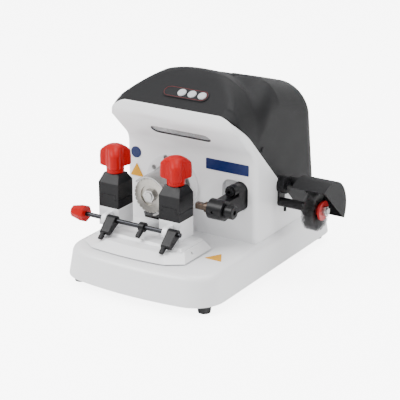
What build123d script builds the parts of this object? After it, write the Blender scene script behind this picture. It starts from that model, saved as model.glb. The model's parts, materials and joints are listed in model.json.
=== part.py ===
from build123d import *
from math import cos, radians, sin, tan
import os

os.makedirs("parts", exist_ok=True)

# Key duplicating machine, millimetres.  +X is the operator's right, +Y is away from the
# operator, +Z is up.  The machine stands on z = 0.  Inside this file every place is written in
# the machine's own directions: x from its mid-plane, y from the front wall's plane, z from the
# bench.  The planes level(), front() and side() put those on the shared origin, which is the
# middle of the whole machine's footprint.

# Shared origin
mid_x = -28.0
wall_y = -26.5

# Base
base_width = 244.0
base_front = -146.0
base_bow = 14.0
base_rear = 213.0
base_front_radius = 46.0
base_rear_radius = 34.0
base_top = 54.0
base_lean = 7.0
base_edge_radius = 11.0
base_wall = 5.0
foot_height = 13.0
foot_top_diameter = 21.0
foot_bottom_diameter = 17.0
foot_x = 101.0
foot_front_y = -125.0
foot_rear_y = 190.0
foot_screw = 4.0
foot_boss_radius = 5.5
foot_boss_height = 18.0
plate_thickness = 2.0
sheet_gap = 0.5

# Housing
house_width = 214.0
house_wall = 4.0
house_edge_radius = 8.0
nose_plan_radius = 26.0
nose_corner_radius = 40.0
cove_start = 167.0
cove_radius = 26.0
nose_back = -47.0
nose_top = 246.0
nose_low = -43.0
seam_level = 191.5
seam_opening_top = 215.0
brow_y = 20.0
brow_z = 286.0
arch_radius = 120.0
roof_end_y = 120.0
roof_end_z = 258.0
rear_y = 198.0
rear_lean = 21.0
rear_plan_radius = 40.0
rear_top_radius = 52.0
shoulder_radius = 50.0
dome_start = -8.0

# Carriage
carriage_x = -18.0
slide_y = -85.5
travel_back = 15.0
travel_forward = 20.0
travel_right = 10.0
window_half = 63.0
slide_length = 28.0
slide_half = 58.0
slide_low = 24.0
slide_high = 42.0
upright = 8.0
rail_diameter = 10.0
rail_half = 44.0
rail_z = 33.0
rail_seat = 9.0
cross_rod_diameter = 8.0
cross_rod_half = 8.5
cross_rod_z = 48.0
running_gap = 0.05
end_gap = 0.5
platform_low = 56.0
platform_high = 66.0
platform_half = 82.0
platform_front = -131.0
platform_back = -47.0
platform_bow = 4.0
platform_chamfer_x = 23.0
platform_chamfer_y = 16.0
platform_slope_front = 15.0
platform_slope_side = 10.0
plinth_top = 70.0
plinth_front = -104.0

# Vices
vice_x = -31.7
vice_spacing = 100.0
vice_y = -65.1
jaw_width = 33.0
jaw_depth = 35.0
post_top = 97.8
jaw_step_low = 110.0
jaw_split = 116.7
jaw_step_width = 5.5
jaw_gap = 0.5
jaw_shoulder = 133.0
jaw_top = 145.0
stud_diameter = 10.0
stud_low = 80.0
stud_top = 168.0
knob_low = 145.5
knob_skirt_top = 152.0
knob_top = 185.5
knob_lobe_reach = 24.0
knob_lobe_radius = 7.5
knob_core_radius = 15.0
knob_skirt_radius = 11.5
free_gap = 0.4

# Gauge rod on the vices' front
gauge_y = -94.0
gauge_z = 86.0
gauge_diameter = 6.5
gauge_left = -118.0
gauge_right = 44.0
lug_width = 7.0
lug_radius = 7.5
clip_width = 14.0
clip_ring = 6.6
clip_reach = 21.0
clip_finger = 32.0
clip_lean = 55.0
gauge_knob_length = 22.0
gauge_knob_radius = 12.0
collar_x = -17.0
collar_width = 8.0

# Cutter head
cut_x = -29.5
cut_z = 117.5
cutter_radius = 25.0
cutter_front = -58.0
cutter_thickness = 8.0
cutter_teeth = 26
cutter_dish_radius = 15.0
cutter_dish = 2.5
spindle_radius = 6.0
spindle_back = 44.0
barrel_radius = 21.0
barrel_front = -44.0
barrel_back = 20.0
flange_radius = 31.0
flange_thickness = 4.0
bearing_radius = 14.0
bearing_width = 8.0
guard_radius = 28.2
guard_wall = 2.0
guard_disc_radius = 43.0
guard_disc_thickness = 3.0
guard_front = -61.0
deflector_z = 71.5
pulley_radius = 15.0
pulley_front = 28.0
pulley_width = 12.0
flange_lip = 3.0
belt_thickness = 2.0
belt_gap = 0.3
motor_z = 190.0
motor_radius = 32.0
motor_front = 48.0
motor_length = 88.0
bracket_thickness = 4.0

# Tracer
tracer_y = -55.0
tracer_z = 118.0
tracer_tip_x = 45.5
tracer_tip_length = 11.5
tracer_tip_size = 9.0
tracer_pin_radius = 4.5
arm_left = 70.0
arm_right = 91.0
arm_low = 105.0
arm_high = 128.0
arm_block_high = 140.0
arm_block_front = -20.0
boss_radius = 14.0
adjuster_radius = 9.5
adjuster_length = 13.0
recess_left = 52.0
recess_right = 93.0
recess_low = 99.0
recess_high = 141.5
recess_depth = 10.0
recess_radius = 12.0

# Brush unit
brush_y = 64.0
brush_z = 98.0
brush_radius = 30.0
brush_left = 156.0
brush_right = 174.0
brush_hub_radius = 9.0
brush_shaft_radius = 4.5
brush_shaft_end = 184.0
tube_radius = 6.5
tube_end = 150.0
brush_motor_radius = 26.0
brush_motor_left = 22.0
pivot_y = 66.0
pivot_z = 123.0
pivot_radius = 4.0
boss_disc_radius = 12.0
boss_disc_thickness = 5.0
hood_left = 140.0
hood_right = 190.0
hood_radius = 43.0
hood_wall = 2.0
hood_from = -28.0
hood_to = 126.0
hood_bar_y = 84.0
hood_bar_radius = 7.0

# Controls, lamp and signs
panel_x = 8.0
panel_length = 72.0
panel_width = 20.0
panel_thickness = 2.0
panel_slope_place = 24.0
button_radius = 6.3
button_spacing = 16.0
button_height = 6.0
button_gap = 0.3
lamp_length = 96.0
lamp_width = 19.0
lens_recess = 1.5
lens_thickness = 3.0
lamp_board_depth = 10.0
lamp_board_width = 11.0
board_thickness = 1.6
lamp_y = -25.0
name_width = 68.0
name_height = 15.5
name_x = 60.0
name_z = 158.8
sign_thickness = 0.8
sign_radius = 8.3
sign_x = -91.0
sign_z = 154.0
triangle_side = 22.0
rear_panel_y = 186.0
rear_panel_half = 45.0
rear_panel_high = 106.0
inlet_x = -15.0
inlet_z = 84.0
inlet_depth = 12.0
rocker_x = 20.0
rocker_tilt = 8.0
rocker_pivot_depth = 4.0
cover_screw_radius = 3.5
cover_screw_head = 1.5
cover_screw_length = 9.0
cover_screw_places = ((14.0, 188.0), (152.0, 80.0))


def level(z):
    """A level plane at height z, drawn in machine x and y."""
    return Plane(origin=(mid_x, wall_y, z), x_dir=(1, 0, 0), z_dir=(0, 0, 1))


def front(y):
    """An upright plane facing the operator at depth y, drawn in machine x and height."""
    return Plane(origin=(mid_x, wall_y + y, 0), x_dir=(1, 0, 0), z_dir=(0, -1, 0))


def side(x):
    """An upright plane facing right at machine x, drawn in depth and height."""
    return Plane(origin=(mid_x + x, wall_y, 0), x_dir=(0, 1, 0), z_dir=(1, 0, 0))


def finish(piece, name):
    """Labels a finished piece and writes its file."""
    piece.label = name
    export_step(piece, f"parts/{name}.step")


def rod_x(x_from, x_to, y, z, radius, mode=Mode.ADD):
    """A round bar along X between two machine x values."""
    with BuildSketch(side(x_from)) as section:
        with Locations((y, z)):
            Circle(radius)
    extrude(section.sketch, amount=x_to - x_from, mode=mode)


def rod_y(y_from, y_to, x, z, radius, mode=Mode.ADD):
    """A round bar along Y between two machine y values, y_from being the rear one."""
    with BuildSketch(front(y_from)) as section:
        with Locations((x, z)):
            Circle(radius)
    extrude(section.sketch, amount=y_from - y_to, mode=mode)


def rod_z(z_from, z_to, x, y, radius, mode=Mode.ADD):
    """A round bar along Z between two heights."""
    with BuildSketch(level(z_from)) as section:
        with Locations((x, y)):
            Circle(radius)
    extrude(section.sketch, amount=z_to - z_from, mode=mode)


def block(x_from, x_to, y_from, y_to, z_from, z_to, mode=Mode.ADD):
    """A square block between machine x, y and z values."""
    with BuildSketch(level(z_from)) as section:
        with Locations(((x_from + x_to) / 2, (y_from + y_to) / 2)):
            Rectangle(x_to - x_from, y_to - y_from)
    extrude(section.sketch, amount=z_to - z_from, mode=mode)


# ---------------------------------------------------------------- base
def base_outline(inset):
    """Plan of the base: straight sides, a bowed front and rounded corners, drawn in by inset."""
    half = base_width / 2
    with BuildSketch() as outline:
        with BuildLine():
            Polyline((-half, base_front), (-half, base_rear), (half, base_rear), (half, base_front))
            ThreePointArc((half, base_front), (0, base_front - base_bow), (-half, base_front))
        make_face()
        fillet(outline.vertices().group_by(Axis.Y)[0], radius=base_front_radius)
        fillet(outline.vertices().group_by(Axis.Y)[-1], radius=base_rear_radius)
        if inset > 0:
            offset(amount=-inset, mode=Mode.REPLACE)
    return outline.sketch


foot_places = [(x, y) for x in (-foot_x, foot_x) for y in (foot_front_y, foot_rear_y)]
window_front = slide_y - slide_length / 2 - travel_forward - end_gap
window_back = slide_y + slide_length / 2 + travel_back + end_gap

with BuildPart() as base_casting:
    with BuildSketch(level(foot_height)):
        add(base_outline(0))
    with BuildSketch(level(base_top)):
        add(base_outline(base_lean))
    loft(ruled=True)
    fillet(base_casting.faces().sort_by(Axis.Z)[-1].edges(), radius=base_edge_radius)
    with BuildSketch(level(foot_height)):
        add(base_outline(base_wall))
    with BuildSketch(level(base_top - base_wall)):
        add(base_outline(base_lean + base_wall))
    loft(ruled=True, mode=Mode.SUBTRACT)
    # bosses for the feet, and the two blocks that hold the rails
    with BuildSketch(level(foot_height + plate_thickness)):
        with Locations(*foot_places):
            Circle(foot_boss_radius)
    extrude(amount=foot_boss_height)
    for seat_low, seat_high in ((window_front - rail_seat, window_front), (window_back, window_back + rail_seat)):
        block(carriage_x - slide_half, carriage_x + slide_half, seat_low, seat_high, slide_low, base_top - base_wall)
    block(carriage_x - window_half, carriage_x + window_half, window_front, window_back, slide_low, base_top,
          mode=Mode.SUBTRACT)
    for rail_x in (carriage_x - rail_half, carriage_x + rail_half):
        rod_y(window_back + rail_seat, window_front - rail_seat, rail_x, rail_z, rail_diameter / 2,
              mode=Mode.SUBTRACT)
    with BuildSketch(level(foot_height + plate_thickness)):
        with Locations(*foot_places):
            Circle(foot_screw / 2)
    extrude(amount=foot_boss_height - 2, mode=Mode.SUBTRACT)
finish(base_casting.part, "base_casting")

with BuildPart() as bottom_plate:
    with BuildSketch(level(foot_height)):
        add(base_outline(base_wall + sheet_gap))
        with Locations(*foot_places):
            Circle(foot_screw / 2, mode=Mode.SUBTRACT)
    extrude(amount=plate_thickness)
finish(bottom_plate.part, "bottom_plate")

with BuildPart() as rubber_feet:
    for x, y in foot_places:
        with BuildSketch(level(0)):
            with Locations((x, y)):
                Circle(foot_bottom_diameter / 2)
        with BuildSketch(level(foot_height)):
            with Locations((x, y)):
                Circle(foot_top_diameter / 2)
        loft()
    for x, y in foot_places:
        rod_z(0, 5, x, y, foot_screw + 0.5, mode=Mode.SUBTRACT)
        rod_z(0, foot_height, x, y, foot_screw / 2, mode=Mode.SUBTRACT)
finish(rubber_feet.part, "rubber_feet")

with BuildPart() as foot_screws:
    for x, y in foot_places:
        rod_z(2, 5, x, y, foot_screw)
        rod_z(5, foot_height + plate_thickness + 14, x, y, foot_screw / 2)
finish(foot_screws.part, "foot_screws")


# ---------------------------------------------------------------- housing
slope = (brow_z - nose_top) / (brow_y - nose_back)
lip = sin(radians(45))
cove_end_y = cove_radius * (lip - 1)
cove_end_z = cove_start + cove_radius * lip
nose_low_z = cove_end_z + (cove_end_y - nose_low)


def body_profile(inset):
    """Side view of the white casting: wall, cove, nose and the slanted seam, drawn in by inset."""
    with BuildSketch() as profile:
        with BuildLine():
            bottom = Line((seam_level - base_top, base_top), (0, base_top))
            wall = Line(bottom @ 1, (0, cove_start))
            cove = TangentArc(wall @ 1, (cove_end_y, cove_end_z), tangent=(0, 1))
            chin = Line(cove @ 1, (nose_low, nose_low_z))
            nose = TangentArc(chin @ 1, (nose_back, nose_top), tangent=(-1, 1))
            Line(nose @ 1, (seam_level - nose_top + 9, nose_top - 9))
            Line((seam_level - nose_top + 9, nose_top - 9), bottom @ 0)
        make_face()
        if inset > 0:
            offset(amount=-inset, mode=Mode.REPLACE)
    return profile.sketch


def house_plan(inset):
    """Plan of the housing: rounded nose corners in front and larger ones behind."""
    half = house_width / 2
    with BuildSketch() as plan:
        with BuildLine():
            Polyline((-half, nose_back - 6), (half, nose_back - 6), (half, rear_y), (-half, rear_y), close=True)
        make_face()
        fillet(plan.vertices().group_by(Axis.Y)[0], radius=nose_plan_radius)
        fillet(plan.vertices().group_by(Axis.Y)[-1], radius=rear_plan_radius)
        if inset > 0:
            offset(amount=-inset, mode=Mode.REPLACE)
    return plan.sketch


def nose_arch(inset):
    """Front view that rounds the housing's two upper corners, drawn in by inset."""
    with BuildSketch() as arch:
        with Locations((0, (nose_top + 1) / 2)):
            Rectangle(house_width, nose_top + 1)
        fillet(arch.vertices().group_by(Axis.Y)[-1], radius=nose_corner_radius)
        if inset > 0:
            offset(amount=-inset, mode=Mode.REPLACE)
    return arch.sketch


def body_form(inset):
    """The white casting's outside, or its hollow when inset is the wall."""
    with BuildPart() as form:
        with BuildSketch(side(0)):
            add(body_profile(inset))
        extrude(amount=house_width / 2 - inset, both=True)
        if inset == 0:
            upright_edges = form.edges().filter_by(lambda e: (e @ 0.5).Y < wall_y + 0.1 and (e @ 0.5).Z < nose_low_z)
            fillet(upright_edges.filter_by(lambda e: e.length < house_width - 0.1), radius=house_edge_radius)
        with BuildSketch(level(base_top - 1)):
            add(house_plan(inset))
        extrude(amount=nose_top, mode=Mode.INTERSECT)
        with BuildSketch(front(rear_y)):
            add(nose_arch(inset))
        extrude(amount=rear_y - nose_back + 10, mode=Mode.INTERSECT)
    return form.part




def seam_opening(low, high, z_from, z_to):
    """A slab along the slanted seam, from low to high in y + z, kept inside the housing's walls."""
    with BuildPart() as slab:
        with BuildSketch(side(0)):
            with BuildLine():
                Polyline((low - z_from, z_from), (high - z_from, z_from), (high - z_to, z_to), (low - z_to, z_to),
                         close=True)
            make_face()
        extrude(amount=house_width / 2, both=True)
        with BuildSketch(level(base_top - 1)):
            add(house_plan(house_wall))
        extrude(amount=nose_top, mode=Mode.INTERSECT)
    return slab.part


def floor_opening(y_from, y_to):
    """A slab through the housing's lower edge between two y values, kept inside the walls."""
    with BuildPart() as slab:
        with BuildSketch(level(base_top - 1)):
            add(house_plan(house_wall))
            with Locations((0, (y_from + y_to) / 2)):
                Rectangle(house_width, y_to - y_from, mode=Mode.INTERSECT)
        extrude(amount=house_wall + 3)
    return slab.part


lamp_z = cove_end_z + (cove_end_y - lamp_y)
lamp_plane = Plane(origin=(mid_x, wall_y + lamp_y, lamp_z), x_dir=(1, 0, 0), z_dir=(0, -1, -1))

guard_screw_places = ((cut_x - 9, cut_z + 39), (cut_x - 29, cut_z + 21))
guard_screw_radius = 1.6

with BuildPart() as body_casting:
    add(body_form(0))
    add(body_form(house_wall), mode=Mode.SUBTRACT)
    # the hollow runs out through the slanted seam and through the bottom
    add(seam_opening(seam_level - 8, seam_level + 4, base_top + 5, seam_opening_top), mode=Mode.SUBTRACT)
    add(floor_opening(house_wall, seam_level - base_top - 7), mode=Mode.SUBTRACT)
    # pocket for the tracer arm, closed at its back
    block(recess_left - 5, recess_right + 5, house_wall / 2, recess_depth + 3, recess_low - 5, recess_high + 5)
    with BuildSketch(front(recess_depth)):
        with Locations(((recess_left + recess_right) / 2, (recess_low + recess_high) / 2)):
            Rectangle(recess_right - recess_left, recess_high - recess_low)
        fillet(vertices().group_by(Axis.Z)[-1], radius=recess_radius)
    extrude(amount=recess_depth + 1, mode=Mode.SUBTRACT)
    rod_y(barrel_back + 5, -5, cut_x, cut_z, barrel_radius, mode=Mode.SUBTRACT)
    rod_x(house_width / 2 - 12, house_width / 2 + 1, brush_y, brush_z, tube_radius, mode=Mode.SUBTRACT)
    rod_x(house_width / 2 - 12, house_width / 2 + 1, pivot_y, pivot_z, pivot_radius, mode=Mode.SUBTRACT)
    for x, z in guard_screw_places:
        rod_y(house_wall + 1, -1, x, z, guard_screw_radius, mode=Mode.SUBTRACT)
    with BuildSketch(lamp_plane.offset(1)):
        SlotOverall(lamp_length, lamp_width)
    extrude(amount=-12, mode=Mode.SUBTRACT)
finish(body_casting.part, "body_casting")


def cover_profile(inset):
    """Side view of the dark cover: slanted seam, sloped brow, roof and leaning rear wall."""
    rear_high = roof_end_z - rear_top_radius - 14
    with BuildSketch() as profile:
        with BuildLine():
            Polyline((seam_level - base_top, base_top), (seam_level - nose_top + 9, nose_top - 9),
                     (nose_back, nose_top), (brow_y, brow_z), (roof_end_y, roof_end_z),
                     (rear_y - rear_lean + 3, roof_end_z - 17), (rear_y - rear_lean, rear_high),
                     (rear_y, base_top), close=True)
        make_face()
        fillet(profile.vertices().filter_by(lambda v: v.X > brow_y + 1 and v.Y > roof_end_z - 30), radius=24)
        fillet(profile.vertices().filter_by(lambda v: abs(v.X - brow_y) < 0.5 and v.Y > brow_z - 1), radius=9)
        if inset > 0:
            offset(amount=-inset, mode=Mode.REPLACE)
    return profile.sketch


def cover_form(inset):
    """The cover's outside, or its hollow when inset is the wall: an arched brow and a dome behind."""
    half = house_width / 2 - inset
    arch_mid = brow_z + 1 - arch_radius
    with BuildPart() as brow:
        with BuildSketch(side(0)):
            add(cover_profile(inset))
        extrude(amount=half, both=True)
        with BuildSketch(level(base_top - 1)):
            add(house_plan(inset))
        extrude(amount=brow_z, mode=Mode.INTERSECT)
        with BuildSketch(front(rear_y)):
            with Locations((0, arch_mid)):
                Circle(arch_radius - inset)
            with Locations((0, arch_mid / 2)):
                Rectangle(2 * half, arch_mid)
        extrude(amount=rear_y + 60, mode=Mode.INTERSECT)
    with BuildPart() as dome:
        with BuildSketch(side(0)):
            add(cover_profile(inset))
        extrude(amount=half, both=True)
        with BuildSketch(level(base_top - 1)):
            add(house_plan(inset))
        extrude(amount=brow_z, mode=Mode.INTERSECT)
        with BuildSketch(front(rear_y)):
            with BuildLine():
                Polyline((-half, base_top), (half, base_top), (half, roof_end_z + 14 - inset),
                         (-half, roof_end_z + 14 - inset), close=True)
            make_face()
            fillet(vertices().group_by(Axis.Z)[-1], radius=shoulder_radius)
        extrude(amount=rear_y + 60, mode=Mode.INTERSECT)
        with BuildSketch(side(0)):
            with BuildLine():
                Polyline((dome_start + inset, base_top), (dome_start + inset, 228), (dome_start + 55 + inset, 288),
                         (rear_y + 5, 288), (rear_y + 5, base_top - 2), (dome_start + inset, base_top - 2), close=True)
            make_face()
        extrude(amount=half, both=True, mode=Mode.INTERSECT)
    return brow.part + dome.part


panel_y = nose_back + panel_slope_place
panel_z = nose_top + slope * panel_slope_place
panel_tilt = Plane(origin=(mid_x + panel_x, wall_y + panel_y, panel_z), x_dir=(1, 0, 0),
                   z_dir=(0, -slope, 1))
button_places = [(panel_length / 2 - 10 - button_spacing * k, 0) for k in (2, 1, 0)]

with BuildPart() as top_cover:
    add(cover_form(0))
    add(cover_form(house_wall), mode=Mode.SUBTRACT)
    add(seam_opening(seam_level - 4, seam_level + 8, base_top - 1, seam_opening_top), mode=Mode.SUBTRACT)
    add(floor_opening(seam_level - base_top + 3, rear_y - house_wall), mode=Mode.SUBTRACT)
    # seat for the control panel and holes for its buttons
    with BuildSketch(panel_tilt):
        SlotOverall(panel_length, panel_width)
    extrude(amount=-panel_thickness / 2, mode=Mode.SUBTRACT)
    with BuildSketch(panel_tilt):
        with Locations(*button_places):
            Circle(button_radius + button_gap)
    extrude(amount=-12, mode=Mode.SUBTRACT)
    # opening for the connections at the back
    block(-rear_panel_half + 7, rear_panel_half - 7, rear_panel_y + 1, rear_y + 5, 62, rear_panel_high - 4,
          mode=Mode.SUBTRACT)
    rod_x(house_width / 2 - 12, house_width / 2 + 1, pivot_y, pivot_z, pivot_radius, mode=Mode.SUBTRACT)
    for x in (-house_width / 2, house_width / 2):
        for y, z in cover_screw_places:
            rod_x(x - 6, x + 6, y, z, cover_screw_radius / 2, mode=Mode.SUBTRACT)
finish(top_cover.part, "top_cover")

with BuildPart() as cover_screws:
    for sign in (-1, 1):
        for y, z in cover_screw_places:
            face_x = sign * house_width / 2
            head_x = face_x + sign * cover_screw_head
            end_x = face_x - sign * cover_screw_length
            rod_x(min(face_x, head_x), max(face_x, head_x), y, z, cover_screw_radius)
            rod_x(min(face_x, end_x), max(face_x, end_x), y, z, cover_screw_radius / 2)
finish(cover_screws.part, "cover_screws")


# ---------------------------------------------------------------- controls, lamp and signs
with BuildPart() as control_panel:
    with BuildSketch(panel_tilt.offset(-panel_thickness / 2)):
        SlotOverall(panel_length, panel_width)
    extrude(amount=panel_thickness)
    with BuildSketch(panel_tilt.offset(panel_thickness)):
        with Locations(*button_places):
            Circle(button_radius + button_gap)
    extrude(amount=-3 * panel_thickness, mode=Mode.SUBTRACT)
finish(control_panel.part, "control_panel")

button_names = ("cutter_button", "brush_button", "lamp_button")
for (x, y), name in zip(button_places, button_names):
    with BuildPart() as button:
        with BuildSketch(panel_tilt.offset(-button_height)):
            with Locations((x, y)):
                Circle(button_radius)
        extrude(amount=button_height + panel_thickness / 2 + 1.5)
        chamfer(button.faces().sort_by(Axis.Z)[-1].edges(), length=0.8)
    finish(button.part, name)

with BuildPart() as circuit_boards:
    with BuildSketch(panel_tilt.offset(-button_height - 5)):
        Rectangle(panel_length + 10, panel_width + 6)
    extrude(amount=board_thickness)
    with BuildSketch(panel_tilt.offset(-button_height - 3.4)):
        with Locations(*button_places):
            Rectangle(6, 6)
    extrude(amount=1.4)
    with BuildSketch(lamp_plane.offset(-lamp_board_depth)):
        Rectangle(lamp_length - 8, lamp_board_width)
    extrude(amount=board_thickness)
    with BuildSketch(lamp_plane.offset(board_thickness - lamp_board_depth)):
        with GridLocations(10, 1, 8, 1):
            Rectangle(5, 3)
    extrude(amount=1.0)
finish(circuit_boards.part, "circuit_boards")

with BuildPart() as lamp_lens:
    with BuildSketch(lamp_plane.offset(-lens_recess)):
        SlotOverall(lamp_length, lamp_width)
    extrude(amount=-lens_thickness)
finish(lamp_lens.part, "lamp_lens")

with BuildPart() as nameplate:
    with BuildSketch(front(0)):
        with Locations((name_x, name_z)):
            RectangleRounded(name_width, name_height, 1.2)
    extrude(amount=sign_thickness)
finish(nameplate.part, "nameplate")

with BuildPart() as round_sign:
    with BuildSketch(front(0)):
        with Locations((sign_x, sign_z)):
            Circle(sign_radius)
    extrude(amount=sign_thickness)
finish(round_sign.part, "round_sign")

with BuildPart() as warning_triangles:
    with BuildSketch(front(0)):
        with Locations((sign_x + 1, sign_z - 29)):
            RegularPolygon(triangle_side / 3**0.5, 3, rotation=90)
    extrude(amount=sign_thickness)
    with BuildSketch(level(base_top)):
        with Locations((85, -70)):
            RegularPolygon(triangle_side / 3**0.5 + 2, 3, rotation=90)
    extrude(amount=sign_thickness)
finish(warning_triangles.part, "warning_triangles")


# ---------------------------------------------------------------- cutter head
with BuildPart() as spindle_housing:
    rod_y(0, -flange_thickness, cut_x, cut_z, flange_radius)
    rod_y(barrel_back, barrel_front, cut_x, cut_z, barrel_radius)
    rod_y(barrel_back + 1, barrel_front - 1, cut_x, cut_z, spindle_radius + 3, mode=Mode.SUBTRACT)
    rod_y(barrel_front + bearing_width, barrel_front - 1, cut_x, cut_z, bearing_radius, mode=Mode.SUBTRACT)
    rod_y(barrel_back + 1, barrel_back - bearing_width, cut_x, cut_z, bearing_radius, mode=Mode.SUBTRACT)
finish(spindle_housing.part, "spindle_housing")

with BuildPart() as spindle_bearings:
    for bearing_back in (barrel_front + bearing_width, barrel_back):
        rod_y(bearing_back, bearing_back - bearing_width, cut_x, cut_z, bearing_radius)
        rod_y(bearing_back + 1, bearing_back - bearing_width - 1, cut_x, cut_z, spindle_radius + running_gap,
              mode=Mode.SUBTRACT)
finish(spindle_bearings.part, "spindle_bearings")

with BuildPart() as spindle_shaft:
    rod_y(spindle_back, cutter_front - 5, cut_x, cut_z, spindle_radius)
    rod_y(barrel_front - 1, cutter_front + cutter_thickness, cut_x, cut_z, spindle_radius + 3)
finish(spindle_shaft.part, "spindle_shaft")

with BuildPart() as cutter_wheel:
    rod_y(cutter_front + cutter_thickness, cutter_front, cut_x, cut_z, cutter_radius)
    rod_y(cutter_front + cutter_dish, cutter_front - 1, cut_x, cut_z, cutter_dish_radius, mode=Mode.SUBTRACT)
    with BuildSketch(front(cutter_front + cutter_thickness + 1)):
        with Locations((cut_x, cut_z)):
            with PolarLocations(cutter_radius, cutter_teeth):
                Rectangle(3.2, 1.6)
            Circle(spindle_radius)
    extrude(amount=cutter_thickness + 2, mode=Mode.SUBTRACT)
finish(cutter_wheel.part, "cutter_wheel")

with BuildPart() as cutter_nut:
    with BuildSketch(front(cutter_front + cutter_dish)):
        with Locations((cut_x, cut_z)):
            RegularPolygon(9.5, 6)
            Circle(spindle_radius, mode=Mode.SUBTRACT)
    extrude(amount=cutter_dish + 3.5)
finish(cutter_nut.part, "cutter_nut")


def pulley(x, z, hub_radius):
    """A flanged belt pulley on a Y axis at x and height z, with a bore of hub_radius."""
    with BuildPart() as wheel:
        rod_y(pulley_front + pulley_width, pulley_front, x, z, pulley_radius)
        rod_y(pulley_front + 1.5, pulley_front, x, z, pulley_radius + flange_lip)
        rod_y(pulley_front + pulley_width, pulley_front + pulley_width - 1.5, x, z, pulley_radius + flange_lip)
        if hub_radius > 0:
            rod_y(pulley_front + pulley_width + 1, pulley_front - 1, x, z, hub_radius, mode=Mode.SUBTRACT)
    return wheel.part


finish(pulley(cut_x, cut_z, spindle_radius), "spindle_pulley")

motor_shaft_radius = 4.0
with BuildPart() as motor_pulley:
    add(pulley(cut_x, motor_z, 0))
    rod_y(motor_front + 20, pulley_front, cut_x, motor_z, motor_shaft_radius)
finish(motor_pulley.part, "motor_pulley")

with BuildPart() as drive_belt:
    with BuildSketch(front(pulley_front + pulley_width - 1.5 - belt_gap)):
        with Locations((cut_x, (cut_z + motor_z) / 2)):
            SlotCenterToCenter(motor_z - cut_z, 2 * (pulley_radius + belt_gap + belt_thickness), rotation=90)
            SlotCenterToCenter(motor_z - cut_z, 2 * (pulley_radius + belt_gap), rotation=90, mode=Mode.SUBTRACT)
    extrude(amount=pulley_width - 3 - 2 * belt_gap)
finish(drive_belt.part, "drive_belt")

with BuildPart() as motor_bracket:
    block(cut_x - 40, cut_x + 40, motor_front - bracket_thickness, motor_front, base_top, motor_z + motor_radius + 2)
    block(cut_x - 40, cut_x + 40, motor_front, motor_front + 26, base_top, base_top + bracket_thickness)
    rod_y(motor_front + 1, motor_front - bracket_thickness - 1, cut_x, motor_z, 10, mode=Mode.SUBTRACT)
    rod_y(motor_front + 1, motor_front - bracket_thickness - 1, cut_x, cut_z, 12, mode=Mode.SUBTRACT)
    fillet(motor_bracket.edges().filter_by(Axis.Y).group_by(Axis.Z)[-1], radius=14)
finish(motor_bracket.part, "motor_bracket")

with BuildPart() as cutter_motor:
    rod_y(motor_front + motor_length, motor_front, cut_x, motor_z, motor_radius)
    fillet(cutter_motor.edges(), radius=3)
    rod_y(motor_front + 21, motor_front - 1, cut_x, motor_z, motor_shaft_radius + running_gap, mode=Mode.SUBTRACT)
finish(cutter_motor.part, "cutter_motor")

with BuildPart() as cutter_guard:
    with BuildSketch(front(0)):
        with Locations((cut_x, cut_z)):
            Circle(guard_disc_radius)
            Circle(flange_radius + 0.2, mode=Mode.SUBTRACT)
        with Locations(*guard_screw_places):
            Circle(guard_screw_radius, mode=Mode.SUBTRACT)
    extrude(amount=guard_disc_thickness)
    with BuildSketch(front(-flange_thickness)):
        with BuildLine():
            CenterArc((cut_x, cut_z), guard_radius, -75, 215)
            CenterArc((cut_x, cut_z), guard_radius - guard_wall, -75, 215)
            for angle in (-75, 140):
                Line((cut_x + guard_radius * cos(radians(angle)), cut_z + guard_radius * sin(radians(angle))),
                     (cut_x + (guard_radius - guard_wall) * cos(radians(angle)),
                      cut_z + (guard_radius - guard_wall) * sin(radians(angle))))
        make_face()
    extrude(amount=-flange_thickness - guard_front)
finish(cutter_guard.part, "cutter_guard")

with BuildPart() as head_screws:
    for x, z in guard_screw_places:
        rod_y(6, -guard_disc_thickness, x, z, guard_screw_radius)
        rod_y(-guard_disc_thickness, -guard_disc_thickness - 1.6, x, z, 2 * guard_screw_radius)
finish(head_screws.part, "head_screws")

with BuildPart() as chip_deflector:
    with BuildSketch(level(deflector_z)):
        with BuildLine():
            Polyline((cut_x - 39, -16), (cut_x - 28, -29), (cut_x + 14, -29), (cut_x + 14, 0), (cut_x - 34, 0),
                     close=True)
        make_face()
    extrude(amount=2.5)
finish(chip_deflector.part, "chip_deflector")


# ---------------------------------------------------------------- tracer
with BuildPart() as tracer_arm:
    block(arm_left, arm_right, tracer_y, recess_depth, arm_low, arm_high)
    block(arm_left, arm_right, arm_block_front, recess_depth, arm_low, arm_block_high)
    fillet(tracer_arm.edges().filter_by(Axis.Y).group_by(Axis.Z)[-1], radius=8)
    rod_x(arm_left - 2, arm_right, tracer_y, tracer_z, boss_radius)
    rod_x(arm_left - 3, arm_right + 1, tracer_y, tracer_z, tracer_pin_radius + running_gap, mode=Mode.SUBTRACT)
    rod_y(tracer_y, tracer_y - 20, arm_left + 8, tracer_z, 2.5, mode=Mode.SUBTRACT)
finish(tracer_arm.part, "tracer_arm")

with BuildPart() as tracer_pin:
    block(tracer_tip_x, tracer_tip_x + tracer_tip_length, tracer_y - tracer_tip_size / 2,
          tracer_y + tracer_tip_size / 2, tracer_z - tracer_tip_size / 2, tracer_z + tracer_tip_size / 2)
    fillet(tracer_pin.edges().filter_by(Axis.X), radius=2)
    rod_x(tracer_tip_x + tracer_tip_length, arm_right - 6, tracer_y, tracer_z, tracer_pin_radius)
    rod_x(tracer_tip_x + tracer_tip_length + 3, tracer_tip_x + tracer_tip_length + 8, tracer_y, tracer_z,
          tracer_pin_radius + 3)
finish(tracer_pin.part, "tracer_pin")

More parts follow.
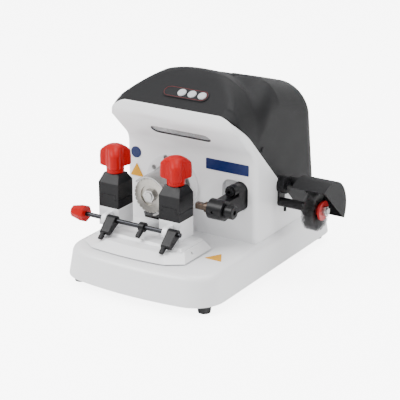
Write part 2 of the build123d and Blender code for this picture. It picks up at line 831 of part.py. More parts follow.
with BuildPart() as tracer_adjuster:
    rod_x(arm_right + 1, arm_right + 1 + adjuster_length, tracer_y, tracer_z, adjuster_radius)
    chamfer(tracer_adjuster.edges().filter_by(GeomType.CIRCLE), length=1.2)
    rod_x(arm_right - 3, arm_right + 2, tracer_y, tracer_z, tracer_pin_radius)
    with BuildSketch(side(arm_right + 2 + adjuster_length)):
        with Locations((tracer_y, tracer_z)):
            RegularPolygon(4, 6)
    extrude(amount=-6, mode=Mode.SUBTRACT)
finish(tracer_adjuster.part, "tracer_adjuster")

dial_x = 83.0
dial_z = arm_high + 8.5
with BuildPart() as tracer_clamp_screw:
    rod_y(arm_block_front, arm_block_front - 10, dial_x, dial_z, 8)
    rod_y(arm_block_front - 10, arm_block_front - 14, dial_x, dial_z, 6)
    with BuildSketch(front(arm_block_front - 15)):
        with Locations((dial_x, dial_z)):
            RegularPolygon(3, 6)
    extrude(amount=-6, mode=Mode.SUBTRACT)
finish(tracer_clamp_screw.part, "tracer_clamp_screw")

# ---------------------------------------------------------------- brush unit
side_x = house_width / 2
with BuildPart() as brush_bracket:
    rod_x(side_x - house_wall, tube_end, brush_y, brush_z, tube_radius)
    rod_x(side_x, side_x + boss_disc_thickness, pivot_y, pivot_z, boss_disc_radius)
    block(side_x, side_x + 3, brush_y - 6, pivot_y + 8, brush_z, pivot_z)
    rod_x(side_x - 5, tube_end + 1, brush_y, brush_z, brush_shaft_radius + running_gap, mode=Mode.SUBTRACT)
    rod_x(side_x - 1, side_x + boss_disc_thickness + 1, pivot_y, pivot_z, pivot_radius, mode=Mode.SUBTRACT)
    rod_z(brush_z - tube_radius - 1, brush_z - brush_shaft_radius - 0.5, side_x + 9, brush_y, 2, mode=Mode.SUBTRACT)
finish(brush_bracket.part, "brush_bracket")

hub_start = side_x + boss_disc_thickness + free_gap
hub_end = hub_start + 5.5


def hood_cap(x_from, chord_offset):
    """An end plate of the hood: the arc closed by a straight chord at chord_offset from the axis."""
    lean = radians((hood_from + hood_to) / 2)
    toward = (cos(lean), sin(lean))
    along = (-sin(lean), cos(lean))
    reach = 2 * hood_radius
    with BuildPart() as cap:
        with BuildSketch(side(x_from)) as section:
            with Locations((brush_y, brush_z)):
                Circle(hood_radius)
            with BuildLine():
                near = (brush_y + toward[0] * chord_offset, brush_z + toward[1] * chord_offset)
                far = (brush_y + toward[0] * reach, brush_z + toward[1] * reach)
                Polyline((near[0] + along[0] * reach, near[1] + along[1] * reach),
                         (far[0] + along[0] * reach, far[1] + along[1] * reach),
                         (far[0] - along[0] * reach, far[1] - along[1] * reach),
                         (near[0] - along[0] * reach, near[1] - along[1] * reach), close=True)
            make_face(mode=Mode.INTERSECT)
        extrude(section.sketch, amount=hood_wall)
    return cap.part


with BuildPart() as brush_hood:
    with BuildSketch(side(hood_left)):
        with BuildLine():
            CenterArc((brush_y, brush_z), hood_radius, hood_from, hood_to - hood_from)
            CenterArc((brush_y, brush_z), hood_radius - hood_wall, hood_from, hood_to - hood_from)
            for angle in (hood_from, hood_to):
                Line((brush_y + hood_radius * cos(radians(angle)), brush_z + hood_radius * sin(radians(angle))),
                     (brush_y + (hood_radius - hood_wall) * cos(radians(angle)),
                      brush_z + (hood_radius - hood_wall) * sin(radians(angle))))
        make_face()
    extrude(amount=hood_right - hood_left)
    add(hood_cap(hood_left, 21))
    add(hood_cap(hood_right - hood_wall, 10))
    rod_x(hub_start, hub_end, pivot_y, pivot_z, boss_disc_radius)
    block(hub_start, hub_end, pivot_y, hood_bar_y, pivot_z - 7, pivot_z + 7)
    rod_x(hub_start, hood_left + hood_wall, hood_bar_y, pivot_z, hood_bar_radius)
    rod_x(hub_start - 1, hub_end + 1, pivot_y, pivot_z, pivot_radius + running_gap, mode=Mode.SUBTRACT)
finish(brush_hood.part, "brush_hood")

with BuildPart() as set_screws:
    rod_x(side_x - house_wall, hub_end + free_gap, pivot_y, pivot_z, pivot_radius)
    rod_x(hub_end + free_gap, hub_end + free_gap + 2.5, pivot_y, pivot_z, pivot_radius + 2)
    rod_z(brush_z - tube_radius - 6, brush_z - brush_shaft_radius - 0.5, side_x + 9, brush_y, 2)
    rod_y(tracer_y - tracer_pin_radius - 1, tracer_y - boss_radius + 2, arm_left + 8, tracer_z, 2.5)
finish(set_screws.part, "set_screws")

with BuildPart() as brush_motor:
    rod_x(brush_motor_left, side_x - house_wall - 1, brush_y, brush_z, brush_motor_radius)
    fillet(brush_motor.edges(), radius=3)
    rod_x(side_x - house_wall - 26, side_x, brush_y, brush_z, brush_shaft_radius + running_gap, mode=Mode.SUBTRACT)
finish(brush_motor.part, "brush_motor")

with BuildPart() as brush_shaft:
    rod_x(side_x - house_wall - 24, brush_shaft_end, brush_y, brush_z, brush_shaft_radius)
finish(brush_shaft.part, "brush_shaft")

with BuildPart() as brush_wheel:
    rod_x(brush_left, brush_right, brush_y, brush_z, brush_radius)
    fillet(brush_wheel.edges(), radius=3)
    rod_x(brush_left - 1, brush_right + 1, brush_y, brush_z, brush_hub_radius, mode=Mode.SUBTRACT)
finish(brush_wheel.part, "brush_wheel")

with BuildPart() as brush_flanges:
    for face_x in (brush_left - 3, brush_right):
        rod_x(face_x, face_x + 3, brush_y, brush_z, 14)
    rod_x(brush_left, brush_right, brush_y, brush_z, brush_hub_radius)
    rod_x(brush_left - 4, brush_right + 4, brush_y, brush_z, brush_shaft_radius, mode=Mode.SUBTRACT)
finish(brush_flanges.part, "brush_flanges")

with BuildPart() as brush_nut:
    with BuildSketch(side(brush_right + 3)):
        with Locations((brush_y, brush_z)):
            RegularPolygon(7, 6)
            Circle(brush_shaft_radius, mode=Mode.SUBTRACT)
    extrude(amount=5)
finish(brush_nut.part, "brush_nut")


# ---------------------------------------------------------------- slides under the carriage
slide_front = slide_y - slide_length / 2
slide_rear = slide_y + slide_length / 2
with BuildPart() as rail_rods:
    for x in (carriage_x - rail_half, carriage_x + rail_half):
        rod_y(window_back + rail_seat, window_front - rail_seat, x, rail_z, rail_diameter / 2)
finish(rail_rods.part, "rail_rods")

with BuildPart() as cross_slide:
    block(carriage_x - slide_half, carriage_x + slide_half, slide_front, slide_rear, slide_low, slide_high)
    for x in (carriage_x - slide_half, carriage_x + slide_half - upright):
        block(x, x + upright, slide_front, slide_rear, slide_high, base_top + 0.5)
    for x in (carriage_x - rail_half, carriage_x + rail_half):
        rod_y(slide_rear + 1, slide_front - 1, x, rail_z, rail_diameter / 2 + running_gap, mode=Mode.SUBTRACT)
    for y in (slide_y - cross_rod_half, slide_y + cross_rod_half):
        rod_x(carriage_x - slide_half - 1, carriage_x + slide_half + 1, y, cross_rod_z, cross_rod_diameter / 2,
              mode=Mode.SUBTRACT)
finish(cross_slide.part, "cross_slide")

with BuildPart() as cross_rods:
    for y in (slide_y - cross_rod_half, slide_y + cross_rod_half):
        rod_x(carriage_x - slide_half, carriage_x + slide_half, y, cross_rod_z, cross_rod_diameter / 2)
finish(cross_rods.part, "cross_rods")

runner_left = carriage_x - slide_half + upright + end_gap
runner_right = carriage_x + slide_half - upright - end_gap - travel_right
with BuildPart() as slide_block:
    block(runner_left, runner_right, slide_front + 1, slide_rear - 1, slide_high + 1, platform_low)
    for y in (slide_y - cross_rod_half, slide_y + cross_rod_half):
        rod_x(runner_left - 1, runner_right + 1, y, cross_rod_z, cross_rod_diameter / 2 + running_gap,
              mode=Mode.SUBTRACT)
finish(slide_block.part, "slide_block")


# ---------------------------------------------------------------- carriage and vices
def platform_outline(side_in, front_in, back_in):
    """Plan of the carriage plate with its front corners cut off, drawn in on each side."""
    half = platform_half - side_in
    front_edge = platform_front + front_in
    with BuildSketch() as outline:
        with BuildLine():
            Polyline((half - platform_chamfer_x, front_edge), (half, front_edge + platform_chamfer_y),
                     (half, platform_back - back_in), (-half, platform_back - back_in),
                     (-half, front_edge + platform_chamfer_y), (-half + platform_chamfer_x, front_edge))
            ThreePointArc((-half + platform_chamfer_x, front_edge), (0, front_edge - platform_bow),
                          (half - platform_chamfer_x, front_edge))
        make_face()
    return outline.sketch


with BuildPart() as carriage_platform:
    with BuildSketch(level(platform_low)):
        with Locations((carriage_x, 0)):
            add(platform_outline(0, 0, 0))
    with BuildSketch(level(platform_high)):
        with Locations((carriage_x, 0)):
            add(platform_outline(platform_slope_side, platform_slope_front, 3))
    loft(ruled=True)
    block(carriage_x - 70, carriage_x + 70, plinth_front, platform_back - 3, platform_high, plinth_top)
    chamfer(carriage_platform.edges().group_by(Axis.Z)[-1], length=3)
    rod_x(carriage_x + platform_half - 20, carriage_x + platform_half + 1, -88, platform_low + 5, 2,
          mode=Mode.SUBTRACT)
finish(carriage_platform.part, "carriage_platform")

vices = {"left": vice_x - vice_spacing / 2, "right": vice_x + vice_spacing / 2}
half_w = jaw_width / 2
half_d = jaw_depth / 2

with BuildPart() as vice_posts:
    for x in vices.values():
        block(x - half_w, x + half_w, vice_y - half_d, vice_y + half_d, plinth_top, post_top)
        block(x, x + lug_width, gauge_y, vice_y - half_d, gauge_z - lug_radius, gauge_z + lug_radius)
        rod_x(x, x + lug_width, gauge_y, gauge_z, lug_radius)
        rod_x(x - 1, x + lug_width + 1, gauge_y, gauge_z, gauge_diameter / 2 + running_gap, mode=Mode.SUBTRACT)
        rod_z(stud_low, post_top + 1, x, vice_y, stud_diameter / 2, mode=Mode.SUBTRACT)
finish(vice_posts.part, "vice_posts")

with BuildPart() as clamp_studs:
    for x in vices.values():
        rod_z(stud_low, stud_top, x, vice_y, stud_diameter / 2)
finish(clamp_studs.part, "clamp_studs")

with BuildPart() as lower_jaws:
    for x in vices.values():
        block(x - half_w, x + half_w, vice_y - half_d, vice_y + half_d, post_top, jaw_step_low)
        block(x - half_w + jaw_step_width, x + half_w - jaw_step_width, vice_y - half_d, vice_y + half_d,
              jaw_step_low, jaw_split)
        rod_z(post_top - 1, jaw_split + 1, x, vice_y, stud_diameter / 2, mode=Mode.SUBTRACT)
finish(lower_jaws.part, "lower_jaws")

for name, x in vices.items():
    with BuildPart() as upper_jaw:
        block(x - half_w, x + half_w, vice_y - half_d, vice_y + half_d, jaw_step_low + jaw_gap, jaw_shoulder)
        block(x - half_w + jaw_step_width - jaw_gap, x + half_w - jaw_step_width + jaw_gap, vice_y - half_d - 1,
              vice_y + half_d + 1, jaw_step_low, jaw_split + jaw_gap, mode=Mode.SUBTRACT)
        with BuildSketch(level(jaw_shoulder)):
            with Locations((x, vice_y)):
                Rectangle(jaw_width, jaw_depth)
        with BuildSketch(level(jaw_top)):
            with Locations((x, vice_y)):
                Rectangle(jaw_width - 8, jaw_depth - 16)
        loft(ruled=True)
        rod_z(jaw_step_low - 1, jaw_top + 1, x, vice_y, stud_diameter / 2 + 2 * running_gap, mode=Mode.SUBTRACT)
    finish(upper_jaw.part, f"upper_jaw_{name}")

for name, x in vices.items():
    with BuildPart() as clamp_knob:
        with BuildSketch(level(knob_low)):
            with Locations((x, vice_y)):
                Circle(knob_skirt_radius)
        with BuildSketch(level(knob_skirt_top)):
            with Locations((x, vice_y)):
                Circle(knob_core_radius)
        loft()
        with BuildSketch(level(knob_skirt_top - 1)):
            with Locations((x, vice_y)):
                Circle(knob_core_radius)
                with PolarLocations((knob_lobe_reach - knob_lobe_radius) / 2, 3, start_angle=-60):
                    SlotCenterPoint((0, 0), ((knob_lobe_reach - knob_lobe_radius) / 2, 0), 2 * knob_lobe_radius)
        extrude(amount=knob_top - knob_skirt_top - 8)
        with BuildSketch(level(knob_top - 10)):
            with Locations((x, vice_y)):
                Circle(knob_core_radius + 1)
        with BuildSketch(level(knob_top)):
            with Locations((x, vice_y)):
                Circle(knob_core_radius - 6)
        loft()
        rod_z(knob_low - 1, stud_top + 2, x, vice_y, stud_diameter / 2 + 2 * running_gap, mode=Mode.SUBTRACT)
    finish(clamp_knob.part, f"clamp_knob_{name}")

# ---------------------------------------------------------------- gauge rod
with BuildPart() as gauge_rod:
    rod_x(gauge_left, gauge_right, gauge_y, gauge_z, gauge_diameter / 2)
finish(gauge_rod.part, "gauge_rod")

with BuildPart() as gauge_knob:
    with BuildSketch(side(gauge_left + 6)):
        with Locations((gauge_y, gauge_z)):
            RegularPolygon(gauge_knob_radius, 8)
            Circle(gauge_diameter / 2, mode=Mode.SUBTRACT)
    extrude(amount=-6)
    with BuildSketch(side(gauge_left)):
        with Locations((gauge_y, gauge_z)):
            RegularPolygon(gauge_knob_radius, 8)
    extrude(amount=6 - gauge_knob_length, taper=12)
finish(gauge_knob.part, "gauge_knob")

down_forward = (-sin(radians(clip_lean)), -cos(radians(clip_lean)))


def gauge_finger(reach, ring, tip, x_from, width):
    """A finger on the rod: a ring carried out to a narrower end, in one slab of the given width."""
    with BuildPart() as finger:
        with BuildSketch(side(x_from)) as section:
            with Locations((gauge_y, gauge_z)):
                Circle(ring)
            with Locations((gauge_y + down_forward[0] * reach, gauge_z + down_forward[1] * reach)):
                Circle(tip)
            make_hull()
        extrude(section.sketch, amount=width)
    return finger.part


with BuildPart() as gauge_clips:
    for x in vices.values():
        clip_left = x + lug_width + free_gap
        add(gauge_finger(clip_reach, clip_ring, 4.0, clip_left, clip_width))
        add(gauge_finger(clip_finger, 3.6, 2.4, clip_left + 2, 5))
        rod_x(clip_left - 1, clip_left + clip_width + 1, gauge_y, gauge_z, gauge_diameter / 2, mode=Mode.SUBTRACT)
finish(gauge_clips.part, "gauge_clips")

with BuildPart() as gauge_lever:
    add(gauge_finger(0.5, clip_ring, clip_ring, collar_x - collar_width / 2, collar_width))
    add(gauge_finger(16, 3.4, 2.6, collar_x - 2, 5))
    rod_x(collar_x - collar_width, collar_x + collar_width, gauge_y, gauge_z, gauge_diameter / 2,
          mode=Mode.SUBTRACT)
finish(gauge_lever.part, "gauge_lever")

# ---------------------------------------------------------------- connections at the back
with BuildPart() as rear_panel:
    block(-rear_panel_half, rear_panel_half, rear_panel_y - 2, rear_panel_y, base_top, rear_panel_high)
    block(-rear_panel_half, rear_panel_half, rear_panel_y - 14, rear_panel_y - 2, base_top, base_top + 2)
    block(inlet_x - 14, inlet_x + 14, rear_panel_y - 3, rear_panel_y + 1, inlet_z - 10, inlet_z + 10,
          mode=Mode.SUBTRACT)
    block(rocker_x - 7, rocker_x + 7, rear_panel_y - 3, rear_panel_y + 1, inlet_z - 10.5, inlet_z + 10.5,
          mode=Mode.SUBTRACT)
finish(rear_panel.part, "rear_panel")

with BuildPart() as power_inlet:
    block(inlet_x - 16, inlet_x + 16, rear_panel_y, rear_panel_y + 3, inlet_z - 12, inlet_z + 12)
    block(inlet_x - 14, inlet_x + 14, rear_panel_y - 16, rear_panel_y, inlet_z - 10, inlet_z + 10)
    block(inlet_x - 12, inlet_x + 12, rear_panel_y + 3 - inlet_depth, rear_panel_y + 4, inlet_z - 8, inlet_z + 8,
          mode=Mode.SUBTRACT)
    for x, z in ((inlet_x - 7, inlet_z - 2), (inlet_x, inlet_z + 2.5), (inlet_x + 7, inlet_z - 2)):
        block(x - 1, x + 1, rear_panel_y + 2 - inlet_depth, rear_panel_y - 4, z - 2, z + 2)
finish(power_inlet.part, "power_inlet")

with BuildPart() as rocker_switch:
    with BuildSketch(side(rocker_x - 6)):
        with BuildLine():
            lean = tan(radians(rocker_tilt))
            Polyline((rear_panel_y - 8, inlet_z - 5), (rear_panel_y + 1, inlet_z - 9.5),
                     (rear_panel_y + 2, inlet_z - 9.5), (rear_panel_y + 2 + 9.5 * lean * 0.2, inlet_z),
                     (rear_panel_y + 2 + 9.5 * lean, inlet_z + 8.7), (rear_panel_y, inlet_z + 8.7),
                     (rear_panel_y - 8, inlet_z + 5), close=True)
        make_face()
    extrude(amount=12)
    rod_x(rocker_x - 6.6, rocker_x + 6.6, rear_panel_y - rocker_pivot_depth, inlet_z, 1.5)
finish(rocker_switch.part, "rocker_switch")
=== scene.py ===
import bpy
import json
import math
import numpy as np
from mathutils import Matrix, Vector


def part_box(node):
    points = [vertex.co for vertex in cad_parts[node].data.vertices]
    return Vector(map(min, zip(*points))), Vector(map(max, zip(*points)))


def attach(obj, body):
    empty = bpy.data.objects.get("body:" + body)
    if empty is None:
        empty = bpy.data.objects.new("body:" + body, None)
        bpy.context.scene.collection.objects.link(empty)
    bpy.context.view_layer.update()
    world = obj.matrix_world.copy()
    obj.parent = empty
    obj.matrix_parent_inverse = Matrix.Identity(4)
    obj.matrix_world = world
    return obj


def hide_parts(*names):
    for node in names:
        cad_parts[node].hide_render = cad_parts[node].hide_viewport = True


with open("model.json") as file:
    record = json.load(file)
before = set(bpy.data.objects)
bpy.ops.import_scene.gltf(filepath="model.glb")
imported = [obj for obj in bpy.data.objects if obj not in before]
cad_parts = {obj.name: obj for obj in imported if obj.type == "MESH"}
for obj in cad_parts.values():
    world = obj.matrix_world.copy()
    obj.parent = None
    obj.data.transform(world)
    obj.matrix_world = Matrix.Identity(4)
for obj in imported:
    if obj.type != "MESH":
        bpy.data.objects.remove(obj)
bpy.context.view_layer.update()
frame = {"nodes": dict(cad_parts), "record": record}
node = frame["nodes"]

# ---------------------------------------------------------------- base casting, bottom plate, feet
# The base is one aluminium casting, powder coated white, with a slightly bowed front.
# Four turned rubber feet are screwed up into it through a steel bottom plate.


def new_group(name, inputs, outputs):
    """An empty shader node group with named sockets: inputs and outputs list (name, socket type, default)."""
    group = bpy.data.node_groups.new(name, "ShaderNodeTree")
    for label, kind, value in inputs:
        socket = group.interface.new_socket(label, in_out="INPUT", socket_type=kind)
        if value is not None:
            socket.default_value = value
    for label, kind, value in outputs:
        group.interface.new_socket(label, in_out="OUTPUT", socket_type=kind)
    return group, group.nodes.new("NodeGroupInput"), group.nodes.new("NodeGroupOutput")


def add_node(tree, kind, **values):
    """A node of that kind with the given settings; a key that names an input sets that input."""
    made = tree.nodes.new(kind)
    for key, value in values.items():
        if hasattr(made, key) and key not in made.inputs:
            setattr(made, key, value)
        else:
            made.inputs[key].default_value = value
    return made


def skin_group():
    """Skin of a coated or moulded face.

    Fine noise on Object coordinates gives the bump and coarse noise the mask for tint and gloss.
    """
    group, source, sink = new_group(
        "Moulded_skin",
        [("Fine", "NodeSocketFloat", 2500.0), ("Coarse", "NodeSocketFloat", 60.0),
         ("Depth", "NodeSocketFloat", 0.1)],
        [("Mask", "NodeSocketFloat", None), ("Normal", "NodeSocketVector", None)])
    place = add_node(group, "ShaderNodeTexCoord")
    fine = add_node(group, "ShaderNodeTexNoise", Detail=3.0, Roughness=0.6)
    coarse = add_node(group, "ShaderNodeTexNoise", Detail=4.0, Roughness=0.55)
    bump = add_node(group, "ShaderNodeBump", Distance=0.0006)
    group.links.new(place.outputs["Object"], fine.inputs["Vector"])
    group.links.new(place.outputs["Object"], coarse.inputs["Vector"])
    group.links.new(source.outputs["Fine"], fine.inputs["Scale"])
    group.links.new(source.outputs["Coarse"], coarse.inputs["Scale"])
    group.links.new(source.outputs["Depth"], bump.inputs["Strength"])
    group.links.new(fine.outputs["Fac"], bump.inputs["Height"])
    group.links.new(coarse.outputs["Fac"], sink.inputs["Mask"])
    group.links.new(bump.outputs["Normal"], sink.inputs["Normal"])
    return group


moulded_skin = skin_group()


def skin_material(name, dark, light, rough, fine, coarse, depth, spread=0.06, coat=0.0, metal=0.0,
                  sheen=0.5):
    """A Principled material over Moulded_skin.

    The mask takes the colour from dark to light, and the roughness from rough - spread to rough + spread.
    """
    made = bpy.data.materials.new(name)
    made.use_nodes = True
    tree = made.node_tree
    shader = tree.nodes["Principled BSDF"]
    skin = add_node(tree, "ShaderNodeGroup", node_tree=moulded_skin)
    skin.inputs["Fine"].default_value = fine
    skin.inputs["Coarse"].default_value = coarse
    skin.inputs["Depth"].default_value = depth
    tint = add_node(tree, "ShaderNodeMix", data_type="RGBA")
    tint.inputs[6].default_value = (*dark, 1)
    tint.inputs[7].default_value = (*light, 1)
    gloss = add_node(tree, "ShaderNodeMapRange")
    gloss.inputs["To Min"].default_value = rough - spread
    gloss.inputs["To Max"].default_value = rough + spread
    tree.links.new(skin.outputs["Mask"], tint.inputs[0])
    tree.links.new(skin.outputs["Mask"], gloss.inputs["Value"])
    tree.links.new(tint.outputs[2], shader.inputs["Base Color"])
    tree.links.new(gloss.outputs["Result"], shader.inputs["Roughness"])
    tree.links.new(skin.outputs["Normal"], shader.inputs["Normal"])
    shader.inputs["Metallic"].default_value = metal
    shader.inputs["Coat Weight"].default_value = coat
    shader.inputs["Coat Roughness"].default_value = 0.15
    shader.inputs["Specular IOR Level"].default_value = sheen
    return made


def finish_nodes(material, *names):
    """Gives CAD nodes a material by their own slots."""
    for name in names:
        made = node[name]
        if not made.material_slots:
            made.data.materials.append(material)
        for slot in made.material_slots:
            slot.material = material


white_coat = skin_material("White_powder_coat", (0.87, 0.875, 0.89), (0.91, 0.915, 0.925), 0.32,
                           900.0, 14.0, 0.10, coat=0.25)
foot_rubber = skin_material("Foot_rubber", (0.012, 0.012, 0.013), (0.03, 0.03, 0.031), 0.62,
                            3000.0, 90.0, 0.2)
plate_steel = skin_material("Zinc_plate", (0.42, 0.42, 0.43), (0.55, 0.55, 0.56), 0.38,
                            1800.0, 40.0, 0.1, metal=1.0)
finish_nodes(white_coat, "base_casting")
finish_nodes(foot_rubber, "rubber_feet")
finish_nodes(plate_steel, "bottom_plate", "foot_screws")

# ---------------------------------------------------------------- housing casting
# The upright housing is a second white casting, screwed to the base.  Its front wall sweeps forward
# into the lamp's chin and nose.
finish_nodes(white_coat, "body_casting")

# ---------------------------------------------------------------- top cover
# The cover is a black ABS moulding with a fine spark texture.  It meets the white casting along a
# slanted seam and is held by two screws on each side.
housing_low, housing_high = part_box("top_cover")
cover_mid_x = (housing_low[0] + housing_high[0]) / 2
wall_plane_y = housing_high[1] - 0.198

# Lengths of the cover in millimetres: x from its middle, y from the front wall's plane, z from the bench.
cover_half = 107
cover_front_y, cover_rear_y = -47, 198
cover_floor_z = 54.0
front_round, rear_round = 26, 40
side_lean = 21
nose_round = 40
nose_pitch = 0.597
nose_edge_z = 245.7
arch_centre_z, arch_radius = 167, 121.7
roof_z, roof_fall = 288, 0.34
crown_z, crown_fall, crown_round = 274.5, 0.31, 42
dome_front_y, dome_front_z = -8, 228
dome_left_x = 16
slot_places = ((24, 44), (38, 48), (52, 54))
slot_half, slot_length, slot_depth = 5.6, 52, 4.2
cover_wall = 0.003


def smooth_most(a, b, k):
    """Rounded maximum of two fields: the larger one, plus a parabola k wide where they meet."""
    h = np.clip(0.5 - 0.5 * (b - a) / k, 0, 1)
    return b * (1 - h) + a * h + k * h * (1 - h)


def smooth_least(a, b, k):
    """Rounded minimum of two fields, the mirror of smooth_most."""
    return -smooth_most(-a, -b, k)


def rounded_plan(x, y, half, front_y, back_y, front_radius, back_radius):
    """Distance to a rectangle in plan whose corners are rounded, front and back by their own radius."""
    radius = np.where(y < (front_y + back_y) / 2, front_radius, back_radius)
    across = np.abs(x) - (half - radius)
    along = np.abs(y - (front_y + back_y) / 2) - ((back_y - front_y) / 2 - radius)
    outside = np.hypot(np.maximum(across, 0), np.maximum(along, 0))
    return outside + np.minimum(np.maximum(across, along), 0) - radius


def round_most(a, b, radius):
    """Maximum of two fields with a true round of that radius where they meet at a right angle."""
    return (np.minimum(np.maximum(a, b), -radius) +
            np.hypot(np.maximum(a + radius, 0), np.maximum(b + radius, 0)))


def cover_field(x, y, z):
    """Negative inside the cover: an arched brow and falling roof joined to a dome on the right.

    Each term is a distance, positive outside: the plan with its leaning sides, the nose's rounded
    corners, the arch, the sloping front, the roof, and the dome's crown, front and left flank.
    Joins are rounded maxima, the two bodies meet in a rounded minimum, and three slots are sunk in.
    """
    lean = np.clip((z - cover_floor_z) / 138, 0, 1.4) * side_lean * np.clip((y - 60) / 90, 0, 1)
    plan = rounded_plan(x, y + lean, cover_half, cover_front_y, cover_rear_y, front_round, rear_round)
    rise = nose_pitch * np.maximum(y - cover_front_y, 0)
    beside = np.maximum(np.abs(x) - (cover_half - nose_round), 0)
    corner = np.hypot(beside, np.maximum(z - 207 - rise, 0)) - nose_round
    fall = roof_fall * np.maximum(y - 20, 0)
    arch = np.hypot(x, z + fall - arch_centre_z) - arch_radius
    slope = (z - nose_edge_z - nose_pitch * (y - cover_front_y)) / 1.165
    roof = (z - roof_z + fall) / 1.05
    rear = rounded_plan(x, y + lean, cover_half, -160, cover_rear_y, front_round, rear_round)
    brow = smooth_most(round_most(rear, arch, 12), smooth_most(slope, roof, 12), 6)
    brow = np.maximum(np.maximum(brow, plan), corner - 50 * np.clip((y + 34) / 40, 0, 1))
    crown = crown_z - crown_fall * np.maximum(y - 60, 0)
    bulge = round_most(plan, (z - crown) / 1.03, crown_round)
    ahead = ((dome_front_y - y) * 58 + (z - dome_front_z) * 55) / 80.0
    face = smooth_most(dome_front_y - y, ahead, 34)
    inner = (dome_left_x - x) * 0.8 - 12
    dome = smooth_most(smooth_most(bulge, face, 26), inner, 30)
    whole = np.maximum(smooth_least(brow, dome, 5), plan)
    for slot_x, slot_y in slot_places:
        across = np.clip(1 - ((x - slot_x) / slot_half) ** 2, 0, 1)
        along = np.clip((y - slot_y) / 8, 0, 1) * np.clip((slot_y + slot_length - y) / 34, 0, 1)
        whole = whole + slot_depth * across ** 0.7 * along * (z > 225)
    return whole


def cover_mesh(rings, spokes):
    """Cover skin: rays fan out from a point on the seam plane and stop where the field is zero.

    A point is centre + r(a, b) * direction(a, b), with a from the seam's normal down to the seam
    plane and b round it; r is found by halving the interval for all rays at once.
    """
    centre = np.array([0.0, 72.0, 119.5])
    normal = np.array([0.0, 1.0, 1.0]) / math.sqrt(2)
    side = np.array([1.0, 0.0, 0.0])
    up = np.array([0.0, -1.0, 1.0]) / math.sqrt(2)
    a = (np.linspace(0, 1, rings) ** 0.8)[1:, None, None] * math.pi / 2
    b = np.linspace(0, 2 * math.pi, spokes, endpoint=False)[None, :, None]
    fan = np.cos(a) * normal + np.sin(a) * (np.cos(b) * side + np.sin(b) * up)
    aim = np.concatenate([normal[None, :], fan.reshape(-1, 3)])
    low = np.zeros(len(aim))
    high = np.full(len(aim), 320.0)
    for _ in range(34):
        middle = (low + high) / 2
        spot = centre + aim * middle[:, None]
        outside = np.maximum(cover_field(*spot.T), cover_floor_z - spot[:, 2]) > 0
        high = np.where(outside, middle, high)
        low = np.where(outside, low, middle)
    spot = centre + aim * low[:, None]
    spot = spot / 1000 + np.array([cover_mid_x, wall_plane_y, 0])
    grid = np.arange(1, len(spot)).reshape(rings - 1, spokes)
    around = np.roll(grid, -1, axis=1)
    quads = np.stack([grid[:-1], around[:-1], around[1:], grid[1:]], axis=-1).reshape(-1, 4)
    cap = np.stack([np.zeros(spokes, int), around[0], grid[0]], axis=-1)
    return spot, [tuple(f) for f in cap.tolist()] + [tuple(f) for f in quads.tolist()]


def solid_from(name, points, faces, material, body, slot, *stands_for, smooth=True, angle=None):
    """A mesh object at the origin from points and faces, with its material, body and CAD nodes; the slot
    argument is not used.
    """
    mesh = bpy.data.meshes.new(name)
    mesh.from_pydata(points.tolist(), [], faces)
    mesh.update()
    made = bpy.data.objects.new(name, mesh)
    bpy.context.scene.collection.objects.link(made)
    mesh.materials.append(material)
    if smooth:
        mesh.shade_smooth()
    if angle is not None:
        mesh.set_sharp_from_angle(angle=math.radians(angle))
    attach(made, body)
    if stands_for:
        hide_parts(*stands_for)
    return made


cover_black = skin_material("Black_moulding", (0.007, 0.007, 0.008), (0.011, 0.011, 0.012), 0.55,
                            1500.0, 30.0, 0.35, sheen=0.2)
cover_points, cover_faces = cover_mesh(170, 420)
cover_skin = solid_from("cover_skin", cover_points, cover_faces, cover_black, "base", "cover_black",
                        "top_cover")
wall = cover_skin.modifiers.new("Wall", "SOLIDIFY")
wall.thickness = cover_wall
wall.offset = -1
finish_nodes(cover_black, "cover_screws")

# ---------------------------------------------------------------- controls
# Three push buttons sit in a pill-shaped black panel on the slope; their boards hang behind it.
button_grey = skin_material("Button_grey", (0.40, 0.41, 0.42), (0.55, 0.56, 0.57), 0.4,
                            1200.0, 400.0, 0.1, coat=0.3)
board_green = skin_material("Board_lacquer", (0.02, 0.14, 0.05), (0.04, 0.24, 0.09), 0.3,
                            700.0, 200.0, 0.1)
finish_nodes(cover_black, "control_panel")


def pill_ring(length, width, origin, across, up, out, bead, turns=160, sides=10):
    """A bead round a pill outline.

    The path is two half circles joined by straights, measured by its own angle: centre =
    origin + across * (shift + r cos t) + up * r sin t.  A circle of radius bead is carried along it.
    """
    t = np.linspace(0, 2 * math.pi, turns, endpoint=False)[:, None]
    r = width / 2
    shift = np.where(np.cos(t) >= 0, 1.0, -1.0) * (length / 2 - r)
    s = np.linspace(0, 2 * math.pi, sides, endpoint=False)[None, :]
    reach = r + bead * np.cos(s)
    flat_x = shift + reach * np.cos(t)
    flat_y = reach * np.sin(t)
    lift = np.broadcast_to(bead * np.sin(s), flat_x.shape)
    points = (np.array(origin) + flat_x[..., None] * np.array(across) + flat_y[..., None] * np.array(up) +
              lift[..., None] * np.array(out)).reshape(-1, 3)
    index = np.arange(turns * sides).reshape(turns, sides)
    ahead, beside = np.roll(index, -1, axis=0), np.roll(index, -1, axis=1)
    faces = np.stack([index, ahead, np.roll(ahead, -1, axis=1), beside], axis=-1).reshape(-1, 4)
    return points, [tuple(f) for f in faces.tolist()]


